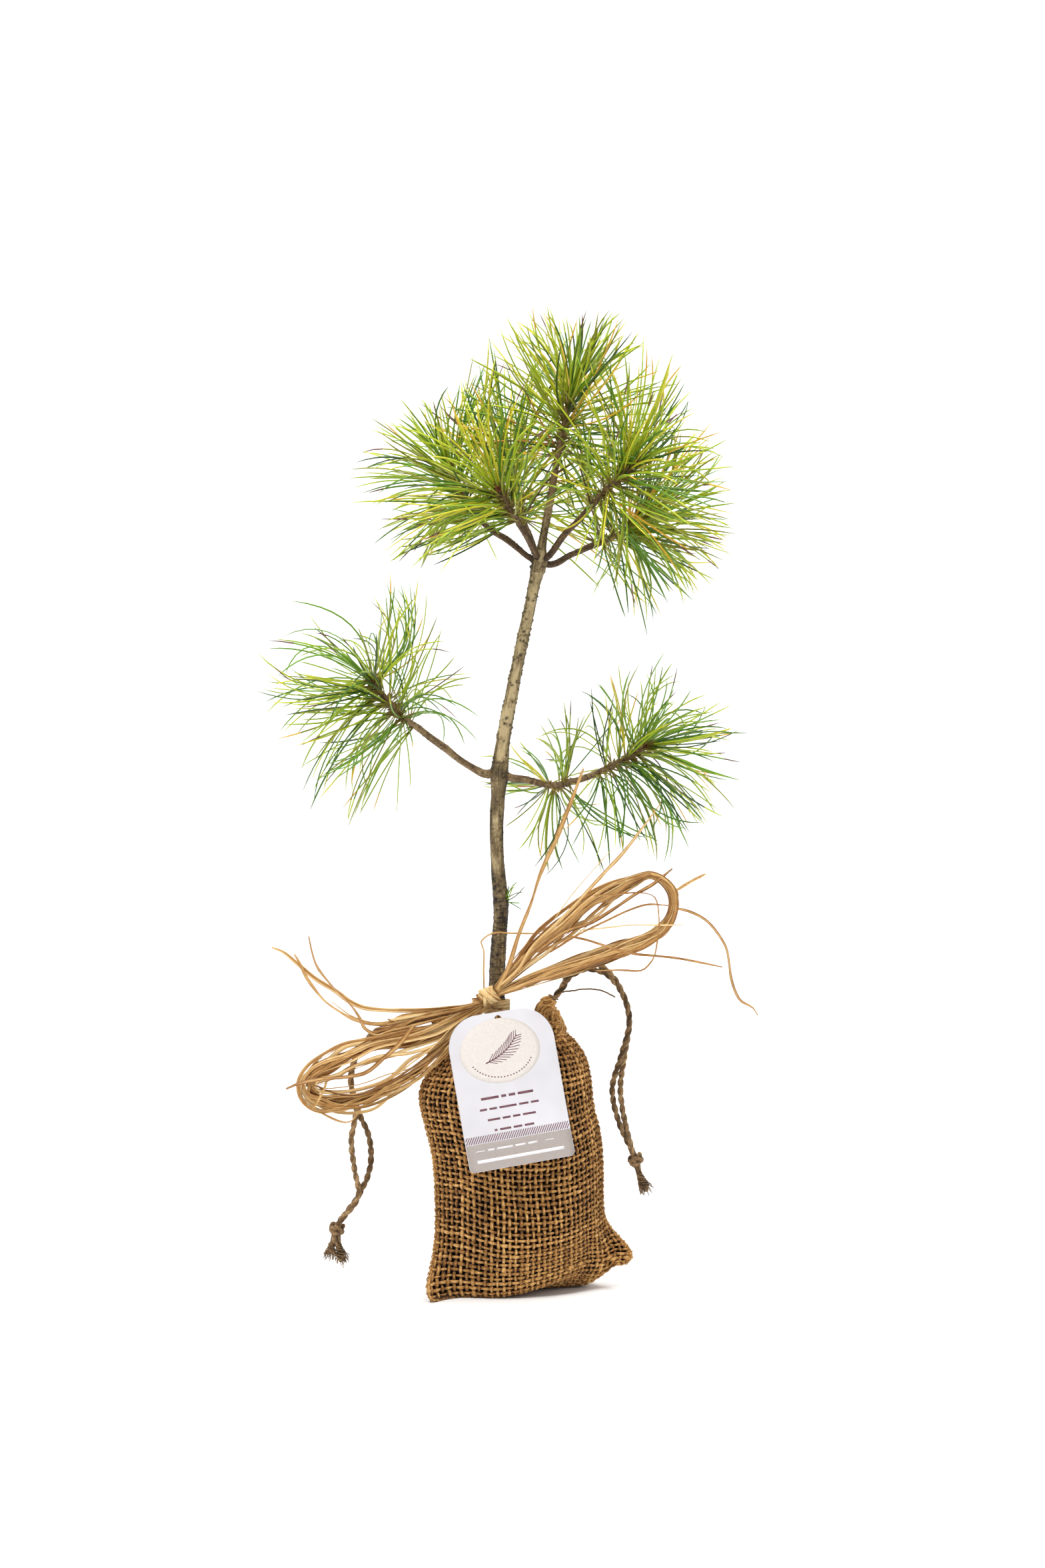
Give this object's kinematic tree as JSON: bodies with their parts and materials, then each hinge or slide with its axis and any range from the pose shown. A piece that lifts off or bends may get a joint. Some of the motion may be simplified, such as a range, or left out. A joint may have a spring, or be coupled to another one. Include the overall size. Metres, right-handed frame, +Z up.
{
  "type": "white pine sapling with root ball",
  "caption": "Young white pine sapling standing on a root ball in a burlap drawstring bag, with a raffia bow tied round the trunk and an arched card hang tag.",
  "frame": {"origin": "middle of the flat underside of the root ball, on the surface it stands on", "axes": "+Z up along the trunk, +X to the right across the broad face of the bag, -Y is the side the hang tag faces"},
  "size_m": [0.2321, 0.165, 0.4624],
  "materials": {
    "root_ball": "matte",
    "burlap": "matte",
    "bark": "matte",
    "twig": "matte",
    "needles": "satin",
    "raffia": "satin",
    "jute": "matte",
    "card": "satin"
  },
  "bodies": {
    "root": {"root_ball": "root_ball", "bag_hem": "burlap", "trunk": "bark", "foliage_top_leader": "needles", "foliage_top_left_outer": "needles", "foliage_top_left_inner": "needles", "foliage_top_right_inner": "needles", "foliage_top_right_outer": "needles", "foliage_top_back": "needles", "foliage_low_left": "needles", "foliage_low_right": "needles", "foliage_low_right_inner": "needles", "bough_low_left": "twig", "bough_low_right": "twig", "bough_top_left_outer": "twig", "bough_top_left_inner": "twig", "bough_top_right_inner": "twig", "bough_top_right_outer": "twig", "bough_top_back": "twig", "raffia_wrap": "raffia", "raffia_knot": "raffia", "raffia_loop_right_upper": "raffia", "raffia_loop_right_lower": "raffia", "raffia_loop_left_upper": "raffia", "raffia_loop_left_lower": "raffia", "raffia_tail_left_long": "raffia", "raffia_tail_left_short": "raffia", "raffia_tail_left_low": "raffia", "raffia_tail_up": "raffia", "raffia_tail_up_right": "raffia", "raffia_tail_curl": "raffia", "raffia_tail_flat": "raffia", "drawstring_right_a": "jute", "drawstring_right_b": "jute", "drawstring_left_a": "jute", "drawstring_left_b": "jute", "drawstring_right_knot": "jute", "drawstring_left_knot": "jute", "hang_tag": "card"}
  },
  "joints": []
}
